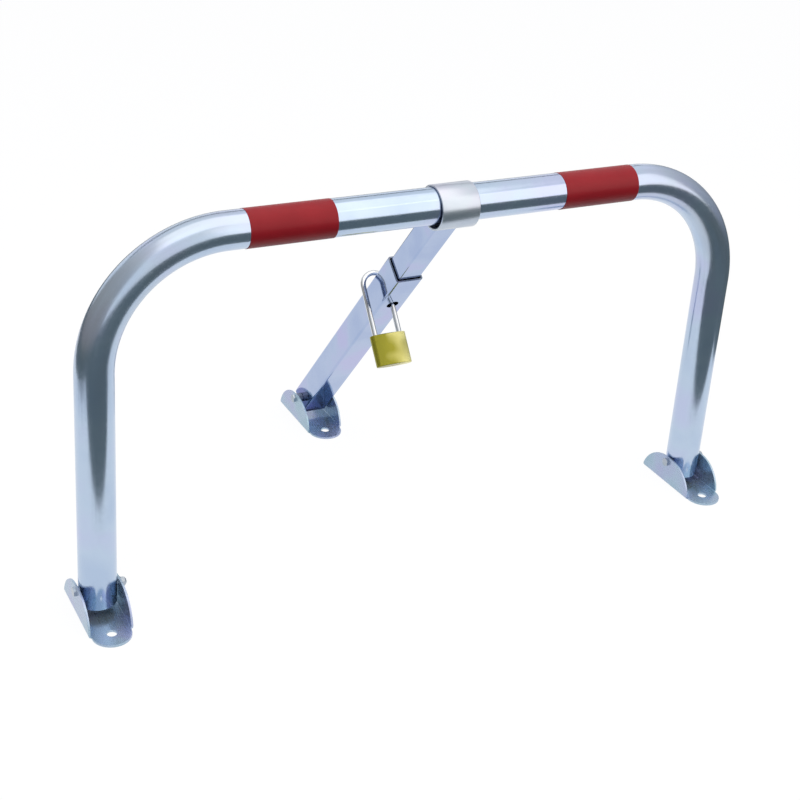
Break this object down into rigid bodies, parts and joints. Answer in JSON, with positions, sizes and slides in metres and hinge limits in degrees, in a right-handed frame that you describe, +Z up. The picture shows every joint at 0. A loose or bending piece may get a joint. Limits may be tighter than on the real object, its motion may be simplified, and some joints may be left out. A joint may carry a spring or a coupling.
{
  "type": "folding parking barrier",
  "caption": "Zinc-plated tube hoop on pivoting feet, propped by a telescopic strut that a padlock secures; it folds flat to let a vehicle pass.",
  "frame": {"origin": "midway between the two front anchor holes, on the ground", "axes": "+X along the hoop, +Y from the hoop to the rear foot, +Z up"},
  "size_m": [0.8476, 0.4457, 0.4536],
  "materials": {
    "zinc_plated_tube": "bright bluish zinc",
    "zinc_plated_square_tube": "bright bluish zinc",
    "zinc_plated_sheet": "bluish zinc",
    "zinc_plated_fasteners": "bright zinc",
    "red_reflective_foil": "glossy reflective film",
    "chromed_shackle": "polished",
    "brass": "satin",
    "plug_brass": "turned"
  },
  "bodies": {
    "ground_feet": {"left_foot_bracket": "zinc_plated_sheet", "left_pivot_bolt": "zinc_plated_fasteners", "left_pivot_washer": "zinc_plated_fasteners", "left_lock_nut": "zinc_plated_fasteners", "right_foot_bracket": "zinc_plated_sheet", "right_pivot_bolt": "zinc_plated_fasteners", "right_pivot_washer": "zinc_plated_fasteners", "right_lock_nut": "zinc_plated_fasteners", "rear_foot_bracket": "zinc_plated_sheet", "rear_pivot_bolt": "zinc_plated_fasteners", "rear_pivot_washer": "zinc_plated_fasteners", "rear_lock_nut": "zinc_plated_fasteners", "rear_left_spacer": "zinc_plated_fasteners", "rear_right_spacer": "zinc_plated_fasteners"},
    "hoop": {"hoop_tube": "zinc_plated_tube", "left_reflective_band": "red_reflective_foil", "right_reflective_band": "red_reflective_foil"},
    "upper_strut": {"collar": "zinc_plated_tube", "upper_strut_tube": "zinc_plated_square_tube"},
    "lower_strut": {"lower_strut_tube": "zinc_plated_square_tube", "padlock_shackle": "chromed_shackle"},
    "padlock": {"padlock_body": "brass"},
    "key_plug": {"padlock_key_plug": "plug_brass"}
  },
  "joints": [
    {"name": "hoop_fold", "type": "hinge", "parent": "ground_feet", "child": "hoop", "pos_m": [0, 0.05, 0.03], "axis": [1, 0, 0], "range_deg": [0, 90]},
    {"name": "collar_swivel", "type": "hinge", "parent": "hoop", "child": "upper_strut", "pos_m": [0.01, 0.05, 0.43], "axis": [1, 0, 0], "range_deg": [-37.5, 0]},
    {"name": "lower_strut_fold", "type": "hinge", "parent": "ground_feet", "child": "lower_strut", "pos_m": [0.01, 0.378, 0.03], "axis": [1, 0, 0], "range_deg": [0, 53]},
    {"name": "padlock_open", "type": "slide", "parent": "lower_strut", "child": "padlock", "axis": [0, -0.6227, -0.7825], "range_m": [0, 0.01]},
    {"name": "key_turn", "type": "hinge", "parent": "padlock", "child": "key_plug", "pos_m": [-0.0045, 0.12577, 0.19844], "axis": [0, -0.6227, -0.7825], "range_deg": [0, 90]}
  ],
  "couplings": [
    {"joint": "lower_strut_fold", "follows": "hoop_fold", "ratio": 0.585},
    {"joint": "collar_swivel", "follows": "hoop_fold", "ratio": -0.414}
  ]
}
